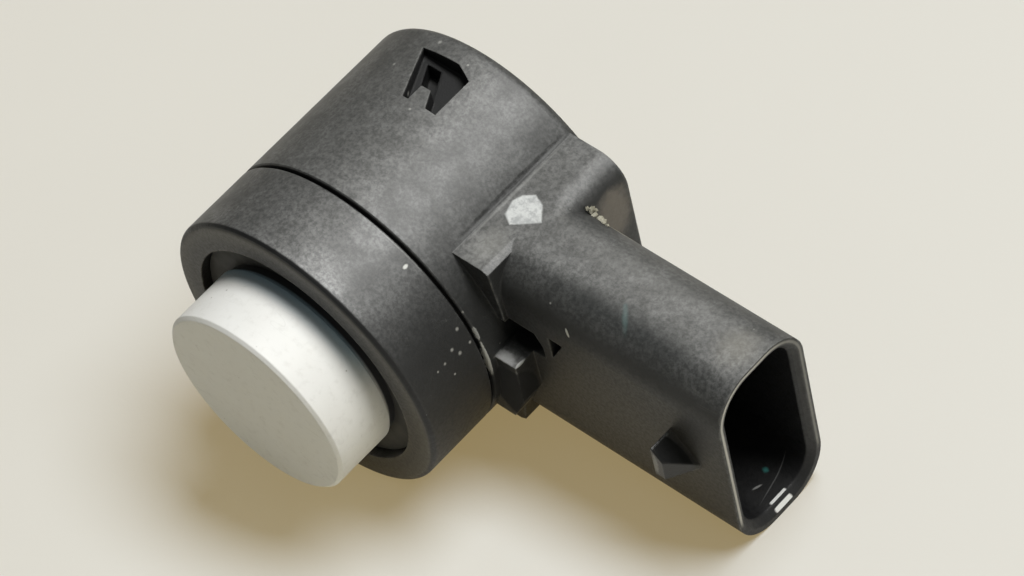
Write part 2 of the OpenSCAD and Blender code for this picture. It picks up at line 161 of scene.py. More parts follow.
def placeGroup(tree, group, **inputs):
    node = tree.nodes.new("ShaderNodeGroup")
    node.node_tree = group
    for name, value in inputs.items():
        wire(tree, node.inputs[name], value)
    return node.outputs


# Shared surface effects

def makeGrainGroup():  # fine moulded grain, and a slow change of tone over the surface
    tree, given, out = startGroup("mouldGrain", [("scale", "Float", 6.0), ("drift", "Float", 0.5)],
                                  [("height", "Float"), ("tone", "Float")])
    place = millimetres(tree)
    fine = addNode(tree, "TexNoise", Vector=place, Scale=given["scale"], Detail=3.0, Roughness=0.65)
    slow = addNode(tree, "TexNoise", Vector=place, Scale=given["drift"], Detail=4.0, Roughness=0.6)
    wire(tree, out["height"], fine.outputs[0])
    wire(tree, out["tone"], slow.outputs[0])
    return tree


def makeDustGroup():  # dust that settles on what faces up, scuffed into soft streaks
    tree, given, out = startGroup("dustVeil", [("scale", "Float", 1.0), ("reach", "Float", 0.8),
                                               ("patchy", "Float", 0.5), ("open", "Float", 1.0)],
                                  [("mask", "Float"), ("scuff", "Float")])
    facing = addNode(tree, "VectorMath", {"operation": "DOT_PRODUCT"})
    tree.links.new(addNode(tree, "NewGeometry").outputs["Normal"], facing.inputs[0])
    facing.inputs[1].default_value = floorUp
    lying = remap(tree, facing.outputs["Value"], maths(tree, "SUBTRACT", 1.0, given["reach"]), 1.0)
    noise = addNode(tree, "TexNoise", Vector=millimetres(tree), Scale=given["scale"], Detail=8.0,
                    Roughness=0.72, Distortion=0.25)
    scuff = remap(tree, noise.outputs[0], 0.36, 0.66)
    kept = blendValue(tree, given["patchy"], 1.0, scuff)
    wire(tree, out["mask"], maths(tree, "MULTIPLY", maths(tree, "MULTIPLY", lying, kept), given["open"]))
    wire(tree, out["scuff"], scuff)
    return tree


def makeSpeckGroup():  # scattered grains and nicks, each cell of the pattern holding one or none
    tree, given, out = startGroup("fineSpecks", [("scale", "Float", 2.0), ("size", "Float", 0.15),
                                                 ("share", "Float", 0.3)], [("mask", "Float")])
    cells = addNode(tree, "TexVoronoi", Vector=millimetres(tree), Scale=given["scale"])
    pick = addNode(tree, "SeparateColor")
    tree.links.new(cells.outputs["Color"], pick.inputs[0])
    size = maths(tree, "MULTIPLY", given["size"], remap(tree, pick.outputs[1], 0.0, 1.0, 0.35, 1.0))
    near = remap(tree, cells.outputs["Distance"], maths(tree, "MULTIPLY", size, 0.3), size, 1.0, 0.0)
    chosen = maths(tree, "LESS_THAN", pick.outputs[0], given["share"])
    wire(tree, out["mask"], maths(tree, "MULTIPLY", near, chosen))
    return tree


def makeWearGroup():  # rubbed outer edges, how open a place lies, and a softly rounded edge normal
    tree, given, out = startGroup("edgeWear", [("width", "Float", 0.0003), ("corner", "Float", 0.0015),
                                               ("round", "Float", 0.0002)],
                                  [("rubbed", "Float"), ("open", "Float"), ("normal", "Vector")])
    inside = addNode(tree, "AmbientOcclusion", {"samples": 6, "inside": True, "only_local": True},
                     Distance=given["width"])
    outside = addNode(tree, "AmbientOcclusion", {"samples": 6}, Distance=given["corner"])
    breakUp = addNode(tree, "TexNoise", Vector=millimetres(tree), Scale=1.3, Detail=6.0, Roughness=0.75)
    edge = remap(tree, inside.outputs["AO"], 0.5, 0.95, 1.0, 0.0)
    wire(tree, out["rubbed"], maths(tree, "MULTIPLY", edge, remap(tree, breakUp.outputs[0], 0.38, 0.66)))
    wire(tree, out["open"], remap(tree, outside.outputs["AO"], 0.35, 0.95))
    softEdge = addNode(tree, "Bevel", {"samples": 4}, Radius=given["round"])
    wire(tree, out["normal"], softEdge.outputs[0])
    return tree


def makeSpotGroup():  # one mark with a ragged border at a stated place
    tree, given, out = startGroup("markSpot", [("centre", "Vector", (0, 0, 0)), ("turn", "Vector", (0, 0, 0)),
                                               ("reach", "Vector", (1, 1, 1)), ("ragged", "Float", 0.3),
                                               ("soft", "Float", 0.3), ("square", "Float", 0.0)],
                                  [("mask", "Float")])
    place = millimetres(tree)
    local = addNode(tree, "Mapping", {"vector_type": "TEXTURE"}, Vector=place, Location=given["centre"],
                    Rotation=given["turn"], Scale=given["reach"])
    far = addNode(tree, "VectorMath", {"operation": "LENGTH"})
    tree.links.new(local.outputs[0], far.inputs[0])
    apart = addNode(tree, "VectorMath", {"operation": "ABSOLUTE"})
    tree.links.new(local.outputs[0], apart.inputs[0])
    x, y, z = splitAxes(tree, apart.outputs[0])
    widest = maths(tree, "MAXIMUM", maths(tree, "MAXIMUM", x, y), z)
    reached = blendValue(tree, given["square"], far.outputs["Value"], widest)  # round or box-like
    noise = addNode(tree, "TexNoise", Vector=place, Scale=2.2, Detail=5.0, Roughness=0.65)
    jitter = maths(tree, "MULTIPLY", maths(tree, "SUBTRACT", noise.outputs[0], 0.5), given["ragged"])
    edge = maths(tree, "ADD", reached, maths(tree, "MULTIPLY", jitter, 4.0))
    wire(tree, out["mask"], remap(tree, edge, maths(tree, "SUBTRACT", 1.0, given["soft"]), 1.0, 1.0, 0.0))
    return tree


def makeFleckGroup():  # one small grain with a soft border at a stated place
    tree, given, out = startGroup("roundFleck", [("centre", "Vector", (0, 0, 0)), ("size", "Float", 0.2)],
                                  [("mask", "Float")])
    apart = addNode(tree, "VectorMath", {"operation": "DISTANCE"})
    tree.links.new(millimetres(tree), apart.inputs[0])
    tree.links.new(given["centre"], apart.inputs[1])
    wire(tree, out["mask"], remap(tree, apart.outputs["Value"], maths(tree, "MULTIPLY", given["size"], 0.1),
                                  given["size"], 1.0, 0.0))
    return tree


def makeHairlineGroup():  # faint hair-thin scratches that run one way
    tree, given, out = startGroup("hairlines", [("turn", "Vector", (0, 0, 0)), ("scale", "Float", 0.6),
                                                ("share", "Float", 0.4)], [("mask", "Float")])
    laid = addNode(tree, "Mapping", Vector=millimetres(tree), Rotation=given["turn"], Scale=(0.18, 1.0, 1.0))
    lines = addNode(tree, "TexNoise", Vector=laid.outputs[0], Scale=given["scale"], Detail=2.0,
                    Distortion=0.4)
    gap = maths(tree, "ABSOLUTE", maths(tree, "SUBTRACT", lines.outputs[0], 0.5))
    thin = remap(tree, gap, 0.0, 0.006, 1.0, 0.0)
    kept = addNode(tree, "TexNoise", Vector=millimetres(tree), Scale=0.35, Detail=2.0)
    shown = remap(tree, kept.outputs[0], maths(tree, "SUBTRACT", 0.75, given["share"]), 0.75)
    wire(tree, out["mask"], maths(tree, "MULTIPLY", thin, shown))
    return tree


grain = makeGrainGroup()
dust = makeDustGroup()
specks = makeSpeckGroup()
wear = makeWearGroup()
spot = makeSpotGroup()
fleck = makeFleckGroup()
hairlines = makeHairlineGroup()
print("surface effects made:", len(bpy.data.node_groups))


def startMaterial(name):
    material = bpy.data.materials.new(name)
    material.use_nodes = True
    tree = material.node_tree
    return material, tree, tree.nodes["Principled BSDF"]


def bumped(tree, shader, height, depth, normal=None):
    bump = addNode(tree, "Bump", Strength=1.0, Distance=depth * mm, Height=height)
    if normal is not None:
        wire(tree, bump.inputs["Normal"], normal)
    wire(tree, shader.inputs["Normal"], bump.outputs[0])


def markMask(tree, mark):
    turn = [radians(angle) for angle in mark.get("turn", (0, 0, 0))]
    return placeGroup(tree, spot, centre=mark["centre"], turn=turn, reach=mark["reach"],
                      ragged=mark.get("ragged", 0.15), soft=mark.get("soft", 0.3),
                      square=mark.get("square", 0.0))["mask"]


def along(tree, axis):  # one coordinate of the surface point, in millimetres
    return splitAxes(tree, millimetres(tree))["XYZ".index(axis)]


def fromAxis(tree):  # the surface point in millimetres, and its distance from the sensor axis
    x, y, z = splitAxes(tree, millimetres(tree))
    square = maths(tree, "ADD", maths(tree, "MULTIPLY", x, x), maths(tree, "MULTIPLY", z, z))
    return x, y, z, maths(tree, "SQRT", square)


def dress(material, *names):
    for name in names:
        for slot in parts[name].material_slots:
            slot.material = material


# Housing and front ring: dusty moulded black

housingLook = {
    "base": (0.022, 0.0225, 0.022, 1),
    "baseShade": 0.7,  # darkest share of the base tone
    "deep": (0.006, 0.006, 0.0065, 1),  # painted shade: clean plastic darkened in the hollows and on the ring's front edge
    "film": (0.13, 0.13, 0.124, 1),  # thin scuffed film on all that faces up
    "filmShare": 0.36,
    "filmGloss": (0.66, 1.46),  # range over the surface
    "dust": (0.36, 0.355, 0.335, 1),  # dust that lies on level places
    "dustShare": 0.16,
    "worn": (0.34, 0.34, 0.325, 1),
    "wornShare": 0.4,
    "grit": (0.60, 0.59, 0.55, 1),
    "gritShare": 0.4,
    "gritCrowding": (0.02, 0.25),  # share of places with a grain, elsewhere and in the crowd
    "roughness": (0.46, 0.60),
    "filmRoughness": 0.60,
    "filmIndex": 1.96,
    "grainDepth": 0.012,
    "scratchShare": 0.12,
    "fleckShare": 0.48,
    "hollows": {
        "radius": (11.6, 11.75),  # of the round body's skin, over which the hollows begin
        "socketFrom": 18.9,
        "middle": 13.5,  # of the socket across the sensor axis
        "flats": (1.0, 5.3),  # half lengths of the socket's straight sides
        "corner": 2.6,
        "bevel": (30.9, 31.4),
        "bevelDrop": 0.8,
        "bevelLow": (-6.5, -4.0),  # only the lower end of the bevel counts as hollow
        "rimLine": ((2.95, 3.08), (3.16, 3.28)),  # where the bright line on the rim begins and ends
        "rimFrom": (31.1, 31.3),
        "rimLow": (-6.2, -4.8),
        "rimFade": (14.0, 16.6, 1.0, 0.35),  # weaker towards the back
    },
    "lip": None,
    "rimShare": 0.75,
    "crowd": {"centre": (11.9, 7.4, 2.5), "reach": (1.5, 1.2, 4.0), "soft": 0.8},  # where grains gather
    "patch": {
        "outline": ((9.03, 15.21), (9.78, 15.77), (10.79, 15.36), (11.76, 14.15),
                    (9.98, 12.72), (9.09, 13.26), (8.74, 14.48)),
        "level": 8.7,
        "tones": ((0.38, 0.39, 0.39, 1), (0.62, 0.63, 0.62, 1)),
        "roughness": 0.85,
    },
    "flecks": ((-2.88, 20.6, 11.65, 0.24), (-4.7, 17.6, 11.04, 0.17), (-0.38, 14.77, 12.0, 0.16),
               (0.39, 20.0, 12.0, 0.12), (-2.08, 16.2, 11.02, 0.28), (10.5, 6.6, 5.85, 0.16),
               (16.0, 9.9, 7.5, 0.12), (13.5, 8.6, 0.9, 0.16)),
    "marks": [
        # pale dust along the barrel, on the block and at the mouth, and a painted highlight along the
        # shoulder's fillet
        {"centre": (22.0, 15.1, 8.6), "reach": (13.0, 3.0, 1.6), "ragged": 0.06, "soft": 0.9, "share": 0.15,
         "tone": (0.36, 0.355, 0.335, 1)},
        {"centre": (10.0, 10.7, 8.7), "reach": (1.7, 2.3, 0.6), "ragged": 0.25, "soft": 0.8, "share": 0.32,
         "tone": (0.31, 0.305, 0.28, 1)},
        {"centre": (29.6, 13.8, 8.7), "reach": (2.2, 2.4, 0.8), "ragged": 0.15, "soft": 0.9, "share": 0.3,
         "tone": (0.34, 0.32, 0.27, 1)},
        {"centre": (12.2, 15.7, 8.5), "turn": (0, 0, -52), "reach": (1.3, 0.45, 0.6), "ragged": 0.1,
         "soft": 0.8, "share": 0.1, "tone": (0.36, 0.35, 0.33, 1)},
        # painted warm reflection of the floor on the face under the shoulder and along the barrel's front
        {"centre": (13.1, 19.4, 5.0), "reach": (0.5, 2.2, 3.6), "ragged": 0.1, "soft": 0.6, "share": 0.6,
         "tone": (0.24, 0.21, 0.175, 1)},
        {"centre": (22.0, 9.1, -2.0), "reach": (14.0, 0.6, 9.0), "ragged": 0.1, "soft": 0.8, "share": 0.5,
         "tone": (0.06, 0.05, 0.032, 1)},
        # groove beside the block with painted shade in it, a painted highlight on the block's edge, and a
        # pale line in the corner behind the barrel
        {"centre": (8.05, 15.2, 8.8), "reach": (0.26, 6.4, 0.5), "ragged": 0.04, "soft": 0.7, "share": 0.9,
         "dent": 0.12, "tone": (0.006, 0.006, 0.006, 1)},
        {"centre": (8.46, 15.0, 8.7), "reach": (0.16, 6.3, 0.2), "ragged": 0.15, "soft": 0.7, "share": 0.5,
         "tone": (0.26, 0.26, 0.25, 1)},
        {"centre": (15.9, 17.5, 6.95), "reach": (1.9, 0.22, 0.4), "ragged": 0.15, "soft": 0.6, "share": 0.8,
         "tone": (0.40, 0.37, 0.28, 1)},
        # teal scuff and pale nick on the barrel
        {"centre": (21.65, 11.4, 8.4), "turn": (0, 0, -52), "reach": (1.5, 0.32, 0.9), "ragged": 0.2,
         "soft": 0.9, "share": 0.85, "tone": (0.15, 0.24, 0.23, 1)},
        {"centre": (17.85, 9.24, 6.26), "turn": (0, 60, 0), "reach": (0.42, 0.3, 0.13), "ragged": 0.05,
         "tone": (0.62, 0.62, 0.58, 1)},
        # two glints on the rim, then a dot, a thin line and a streak inside the mouth
        {"centre": (30.77, 13.6, -7.9), "reach": (0.13, 0.9, 0.5), "ragged": 0.02, "soft": 0.2,
         "square": 0.85, "tone": (0.8, 0.8, 0.78, 1)},
        {"centre": (31.36, 13.55, -8.05), "reach": (0.27, 0.95, 0.15), "ragged": 0.02, "soft": 0.2,
         "square": 0.85, "tone": (0.8, 0.8, 0.78, 1)},
        {"centre": (28.65, 14.8, -7.6), "reach": (0.36, 0.3, 0.4), "ragged": 0.15, "soft": 0.8,
         "tone": (0.035, 0.19, 0.175, 1)},
        {"centre": (29.65, 14.8, -7.6), "turn": (0, 0, 12.7), "reach": (0.07, 3.0, 1.6), "ragged": 0.02,
         "soft": 0.6, "share": 0.8, "tone": (0.10, 0.10, 0.10, 1)},
        {"centre": (29.1, 13.35, -7.7), "turn": (0, 0, -20), "reach": (0.12, 0.5, 0.3), "ragged": 0.05,
         "soft": 0.6, "share": 0.8, "tone": (0.32, 0.32, 0.31, 1)},
        # chalky edge of the seam near the lug
        {"centre": (11.8, 6.62, 1.5), "reach": (0.6, 0.12, 2.4), "ragged": 0.35, "share": 0.9,
         "tone": (0.50, 0.50, 0.48, 1)},
        {"centre": (11.35, 6.66, 4.1), "reach": (0.5, 0.16, 0.8), "ragged": 0.4, "share": 0.6,
         "tone": (0.42, 0.42, 0.40, 1)},
        # lug: painted shadow in the hollow above it, painted light on its top and edges, painted shade on its
        # lower sides
        {"centre": (13.0, 9.7, 2.3), "reach": (2.6, 1.5, 1.7), "ragged": 0.03, "soft": 0.25, "share": 0.95,
         "clean": 0.4, "tone": (0.006, 0.006, 0.006, 1)},
        {"centre": (12.7, 7.5, 1.2), "reach": (1.2, 0.7, 0.25), "ragged": 0.25, "soft": 0.7, "share": 0.7,
         "tone": (0.42, 0.42, 0.41, 1)},
        {"centre": (13.85, 7.7, 1.2), "reach": (0.2, 0.6, 0.2), "ragged": 0.2, "share": 0.8,
         "tone": (0.60, 0.60, 0.58, 1)},
        {"centre": (13.85, 7.2, 0.2), "reach": (0.13, 0.13, 1.0), "ragged": 0.3, "share": 0.6,
         "tone": (0.26, 0.26, 0.25, 1)},
        {"centre": (13.4, 7.1, -2.3), "reach": (2.6, 1.9, 3.1), "ragged": 0.04, "soft": 0.15, "share": 0.9,
         "clean": 0.9, "tone": (0.006, 0.006, 0.006, 1)},
        # painted shade on the barrel's front roll and on the nib, both on clean plastic, and painted light on
        # the nib's edge
        {"centre": (21.5, 11.1, 8.5), "reach": (11.0, 1.7, 1.4), "ragged": 0.05, "soft": 0.9, "share": 0.55,
         "clean": 0.55, "tone": (0.012, 0.0145, 0.014, 1)},
        {"centre": (27.8, 7.3, 0.8), "reach": (2.6, 1.6, 3.4), "ragged": 0.02, "soft": 0.1, "share": 0.95,
         "clean": 0.3, "tone": (0.006, 0.006, 0.006, 1)},
        {"centre": (26.7, 7.2, 0.6), "reach": (0.35, 0.7, 1.4), "ragged": 0.25, "soft": 0.6, "share": 0.7,
         "tone": (0.25, 0.25, 0.24, 1)},
    ],
}
ringLook = dict(
    housingLook, base=(0.023, 0.0232, 0.023, 1), dustShare=0.10, hollows=None, patch=None,
    filmRoughness=0.57, filmIndex=2.02,
    lip={
        "line": ((0.06, 0.16), (0.30, 0.44)),  # depths over which the painted dark line begins and ends
        "radius": (11.55, 11.65),
        # painted floor reflection that makes the front face paler
        "face": (0.15, 0.14, 0.12, 1),
        "faceDepth": (0.02, 0.08),
        "faceRadius": (10.2, 11.6),
        "faceShare": (0.12, 0.44),
        "shine": 1.5,
        "shineDepth": (0.36, 2.6),
    },
    crowd={"centre": (11.1, 4.7, 4.6), "reach": (1.6, 1.7, 3.2), "soft": 0.8},
    flecks=((10.77, 5.57, 5.3, 0.2), (11.36, 5.9, 3.87, 0.17), (11.14, 4.42, 4.46, 0.2),
            (11.38, 4.83, 3.82, 0.22), (11.29, 3.43, 4.07, 0.16), (11.31, 2.67, 4.01, 0.13),
            (11.66, 3.74, 2.83, 0.14)),
    marks=[
        # one bright chip, and a painted highlight along the ring's edge at the seam
        {"centre": (7.06, 5.5, 9.7), "reach": (0.16, 0.30, 0.24), "ragged": 0.08, "soft": 0.6,
         "tone": (0.62, 0.62, 0.59, 1)},
        {"centre": (5.6, 6.16, 10.6), "reach": (4.4, 0.14, 3.0), "ragged": 0.15, "soft": 0.6, "share": 0.4,
         "tone": (0.30, 0.30, 0.29, 1)},
    ])


def hollowMask(tree, plan):  # inside of the socket, and what is sunk below the round body
    x, y, z, radius = fromAxis(tree)
    sunk = remap(tree, radius, *plan["radius"], 1.0, 0.0)
    across = maths(tree, "ABSOLUTE", maths(tree, "SUBTRACT", y, plan["middle"]))
    aside = maths(tree, "SUBTRACT", across, plan["flats"][0])
    above = maths(tree, "SUBTRACT", maths(tree, "ABSOLUTE", z), plan["flats"][1])
    bent = addNode(tree, "CombineXYZ", X=maths(tree, "MAXIMUM", aside, 0.0),
                   Y=maths(tree, "MAXIMUM", above, 0.0))
    length = addNode(tree, "VectorMath", {"operation": "LENGTH"})
    tree.links.new(bent.outputs[0], length.inputs[0])
    fromFlats = length.outputs["Value"]
    bevel = maths(tree, "MULTIPLY", remap(tree, x, *plan["bevel"], 0.0, plan["bevelDrop"], False),
                  remap(tree, z, *plan["bevelLow"], 1.0, 0.0))
    inner = maths(tree, "LESS_THAN", fromFlats, maths(tree, "ADD", bevel, plan["corner"]))
    within = maths(tree, "MULTIPLY", inner, maths(tree, "GREATER_THAN", x, plan["socketFrom"]))
    begin, stop = plan["rimLine"]
    line = maths(tree, "MULTIPLY", remap(tree, fromFlats, *begin), remap(tree, fromFlats, *stop, 1.0, 0.0))
    strength = maths(tree, "MULTIPLY", remap(tree, z, *plan["rimLow"]), remap(tree, y, *plan["rimFade"]))
    rim = maths(tree, "MULTIPLY", maths(tree, "MULTIPLY", line, remap(tree, x, *plan["rimFrom"])), strength)
    return maths(tree, "MAXIMUM", sunk, within), rim


def lipMasks(tree, plan):  # painted dark line on the front edge, paler face as painted reflection, brighter film behind
    x, y, z, radius = fromAxis(tree)
    begin, stop = plan["line"]
    band = maths(tree, "MULTIPLY", remap(tree, y, *begin), remap(tree, y, *stop, 1.0, 0.0))
    line = maths(tree, "MULTIPLY", band, remap(tree, radius, *plan["radius"]))
    front = maths(tree, "MULTIPLY", remap(tree, y, *plan["faceDepth"], 1.0, 0.0),
                  remap(tree, radius, *plan["faceRadius"], *plan["faceShare"]))
    return line, front, remap(tree, y, *plan["shineDepth"], plan["shine"], 1.0)


def patchMask(tree, patch):  # a rubbed patch with straight sides on a level face
    place = millimetres(tree)
    noise = addNode(tree, "TexNoise", Vector=place, Scale=1.9, Detail=6.0, Roughness=0.65)
    edge = maths(tree, "MULTIPLY", maths(tree, "SUBTRACT", noise.outputs[0], 0.5), 0.25)
    corners = patch["outline"]
    over = None
    for (x, y), (nextX, nextY) in zip(corners, corners[1:] + corners[:1]):
        out = Vector((y - nextY, nextX - x, 0)).normalized()
        side = addNode(tree, "VectorMath", {"operation": "DOT_PRODUCT"})
        tree.links.new(place, side.inputs[0])
        side.inputs[1].default_value = out
        past = maths(tree, "SUBTRACT", side.outputs["Value"], out.dot((x, y, 0)))
        over = past if over is None else maths(tree, "MAXIMUM", over, past)
    flat = remap(tree, along(tree, "Z"), patch["level"] - 0.3, patch["level"] - 0.1)
    mask = remap(tree, maths(tree, "ADD", over, edge), -0.12, 0.06, 1.0, 0.0)
    return maths(tree, "MULTIPLY", mask, flat), noise.outputs[0]


def makeMouldedPlastic(name, look):
    material, tree, shader = startMaterial(name)
    surface = placeGroup(tree, grain, scale=7.0, drift=0.45)
    edges = placeGroup(tree, wear, width=0.00022, corner=0.0010, round=0.0002)
    sunk, rim = hollowMask(tree, look["hollows"]) if look["hollows"] else (0.0, 0.0)
    # painted shade: film and dust are kept off hemmed-in places, so corners and recesses go darker
    clear = maths(tree, "MULTIPLY", edges["open"], maths(tree, "SUBTRACT", 1.0, sunk))
    film = placeGroup(tree, dust, scale=3.4, reach=0.68, patchy=0.7, open=clear)
    settled = placeGroup(tree, dust, scale=1.8, reach=0.12, patchy=0.6, open=clear)
    crowd = markMask(tree, look["crowd"])
    crowding = blendValue(tree, crowd, *look["gritCrowding"])
    grains = placeGroup(tree, specks, scale=1.7, size=0.18, share=crowding)["mask"]
    scratch = placeGroup(tree, hairlines, turn=(0.0, 0.0, 0.7), scale=0.7, share=0.3)["mask"]
    shade = [channel * look["baseShade"] for channel in look["base"][:3]] + [1]
    tone = blendTone(tree, surface["tone"], shade, look["base"])
    filmed = maths(tree, "MULTIPLY", film["mask"], look["filmShare"])
    dusted = maths(tree, "MULTIPLY", settled["mask"], look["dustShare"])
    rubbed = maths(tree, "MULTIPLY", edges["rubbed"], look["wornShare"])
    for mask, key in ((filmed, "film"), (dusted, "dust"), (rubbed, "worn"),
                      (maths(tree, "MULTIPLY", scratch, look["scratchShare"]), "worn"),
                      (maths(tree, "MULTIPLY", grains, look["gritShare"]), "grit")):
        tone = blendTone(tree, mask, tone, look[key])
    # painted shade: the socket's inside and what is sunk below the round body are darkened
    tone = blendTone(tree, sunk, tone, look["deep"])
    tone = blendTone(tree, maths(tree, "MULTIPLY", rim, look["rimShare"]), tone, look["grit"])
    loose = None
    for x, y, z, size in look["flecks"]:
        bit = placeGroup(tree, fleck, centre=(x, y, z), size=size)["mask"]
        loose = bit if loose is None else maths(tree, "MAXIMUM", loose, bit)
    tone = blendTone(tree, maths(tree, "MULTIPLY", loose, look["fleckShare"]), tone, look["grit"])
    height = surface["height"]
    rough = remap(tree, film["scuff"], 0.0, 1.0, *look["roughness"])
    sheen = remap(tree, surface["tone"], 0.32, 0.68, *look["filmGloss"])
    gloss = maths(tree, "MULTIPLY", film["mask"], sheen)
    if look["lip"]:
        line, front, shine = lipMasks(tree, look["lip"])
        # painted reflections: a paler front face, then a dark line on the rounded front edge
        tone = blendTone(tree, line, blendTone(tree, front, tone, look["lip"]["face"]), look["deep"])
        gloss = maths(tree, "MULTIPLY", gloss, shine)
        gloss = maths(tree, "MULTIPLY", gloss, maths(tree, "SUBTRACT", 1.0, line))
    for mark in look["marks"]:
        mask = markMask(tree, mark)
        if "share" in mark:
            mask = maths(tree, "MULTIPLY", mask, mark["share"])
        tone = blendTone(tree, mask, tone, mark["tone"])
        if "dent" in mark:
            dent = maths(tree, "MULTIPLY", mask, mark["dent"] / look["grainDepth"])
            height = maths(tree, "SUBTRACT", height, dent)
        if "clean" in mark:
            rough = blendValue(tree, mask, rough, mark["clean"])
            gloss = maths(tree, "MULTIPLY", gloss, maths(tree, "SUBTRACT", 1.0, mask))
    if look["patch"]:
        chalky, mottle = patchMask(tree, look["patch"])
        chalk = blendTone(tree, remap(tree, mottle, 0.38, 0.60), *look["patch"]["tones"])
        tone = blendTone(tree, chalky, tone, chalk)
        rough = blendValue(tree, chalky, rough, look["patch"]["roughness"])
    wire(tree, shader.inputs["Base Color"], tone)
    wire(tree, shader.inputs["Roughness"], rough)
    wire(tree, shader.inputs["Coat Weight"], gloss)
    shader.inputs["Coat Roughness"].default_value = look["filmRoughness"]
    shader.inputs["Coat IOR"].default_value = look["filmIndex"]
    bumped(tree, shader, height, look["grainDepth"], edges["normal"])
    return material


dress(makeMouldedPlastic("bodyPlastic", housingLook), "housing")
dress(makeMouldedPlastic("ringPlastic", ringLook), "front_ring")
print("mouldings dressed")


# Sensing cup: satin white paint, with a painted bluish shade on its upper side where it enters the ring, and
# darker inside the ring

cupLook = {
    "paint": (0.87, 0.87, 0.855, 1),
    "shade": (0.81, 0.80, 0.77, 1),
    "footShade": (0.36, 0.48, 0.56, 1),  # painted bluish shade where it enters the ring
    "footLength": 1.5,
    "footHeight": (2.0, 6.0),  # only on the upper side
    "root": (0.03, 0.03, 0.032, 1),
    "rootDepth": (0.12, 0.35),
    "speck": (0.30, 0.28, 0.24, 1),
    "smudgeShare": 0.12,
    "scratchShare": 0.2,
    "gritShare": 0.65,
    "roughness": (0.48, 0.60),
    "edge": (0.95, 0.95, 0.93, 1),
    "edgeShare": 0.4,
    "grainDepth": 0.004,
}


def makeCupPaint(look):
    material, tree, shader = startMaterial("cupPaint")
    surface = placeGroup(tree, grain, scale=5.0, drift=0.3)
    edges = placeGroup(tree, wear, width=0.00018, corner=0.0006, round=0.00015)
    grit = placeGroup(tree, specks, scale=1.1, size=0.13, share=0.22)["mask"]
    scratch = placeGroup(tree, hairlines, turn=(0.6, 0.3, 0.2), scale=0.5, share=0.4)["mask"]
    smudge = placeGroup(tree, grain, scale=1.4, drift=0.7)
    depth = along(tree, "Y")
    tone = blendTone(tree, surface["tone"], look["shade"], look["paint"])
    for mask, share, key in ((remap(tree, smudge["height"], 0.5, 0.75), look["smudgeShare"], "speck"),
                             (edges["rubbed"], look["edgeShare"], "edge"),
                             (scratch, look["scratchShare"], "speck"), (grit, look["gritShare"], "speck")):
        tone = blendTone(tree, maths(tree, "MULTIPLY", mask, share), tone, look[key])
    # painted shade: bluish on the upper side where the cup enters the ring
    footShade = maths(tree, "MULTIPLY", remap(tree, depth, -look["footLength"], 0.0),
                 remap(tree, along(tree, "Z"), *look["footHeight"]))
    tone = blendTone(tree, footShade, tone, look["footShade"])
    tone = blendTone(tree, remap(tree, depth, *look["rootDepth"]), tone, look["root"])
    wire(tree, shader.inputs["Base Color"], tone)
    wire(tree, shader.inputs["Roughness"], remap(tree, surface["tone"], 0.3, 0.7, *look["roughness"]))
    bumped(tree, shader, surface["height"], look["grainDepth"], edges["normal"])
    return material


dress(makeCupPaint(cupLook), "membrane_cup")
print("cup dressed")


# Soft rings and inner pieces: two tones, worn edges, a little dust and a pattern where the piece has one

def windings(tree, tone, metal):  # turns of enamelled wire
    rounds = addNode(tree, "TexWave", {"bands_direction": "Y", "wave_profile": "SIN"},
                     Vector=millimetres(tree), Scale=1.6, Distortion=0.4, Detail=1.0)
    return blendTone(tree, rounds.outputs["Fac"], (0.20, 0.07, 0.025, 1), tone), metal, rounds.outputs["Fac"]


def boardTracks(tree, tone, metal):  # copper tracks under the solder resist
    tracks = addNode(tree, "TexBrick", Vector=millimetres(tree), Scale=0.55, Color1=(0, 0, 0, 1),
                     Color2=(0, 0, 0, 1), Mortar=(1, 1, 1, 1))
    tracks.inputs["Mortar Size"].default_value = 0.05
    line = maths(tree, "MULTIPLY", tracks.outputs["Fac"], 0.7)
    return blendTone(tree, line, tone, (0.05, 0.22, 0.09, 1)), metal, tracks.outputs["Fac"]


def tinnedEnds(centre, half):  # metal caps on the ends of a chip part that lies along X
    def pattern(tree, tone, metal):
        off = maths(tree, "ABSOLUTE", maths(tree, "SUBTRACT", along(tree, "X"), centre))
        cap = maths(tree, "GREATER_THAN", off, half)
        return blendTone(tree, cap, tone, (0.62, 0.63, 0.64, 1)), cap, cap
    return pattern


def sleeveStripe(tree, tone, metal):  # pale stripe on the capacitor's sleeve and its bare metal end
    stripeFrom, sleeveEnd = 5.0, 14.9
    stripe = maths(tree, "GREATER_THAN", along(tree, "X"), stripeFrom)
    bare = maths(tree, "GREATER_THAN", along(tree, "Y"), sleeveEnd)
    tone = blendTone(tree, maths(tree, "MULTIPLY", stripe, 0.7), tone, (0.55, 0.58, 0.62, 1))
    return blendTone(tree, bare, tone, (0.6, 0.61, 0.62, 1)), bare, bare


def foamCells(tree, tone, metal):  # open cells
    cells = addNode(tree, "TexVoronoi", Vector=millimetres(tree), Scale=3.5)
    hole = remap(tree, cells.outputs["Distance"], 0.15, 0.45, 1.0, 0.0)
    return blendTone(tree, hole, tone, (0.07, 0.07, 0.075, 1)), metal, cells.outputs["Distance"]


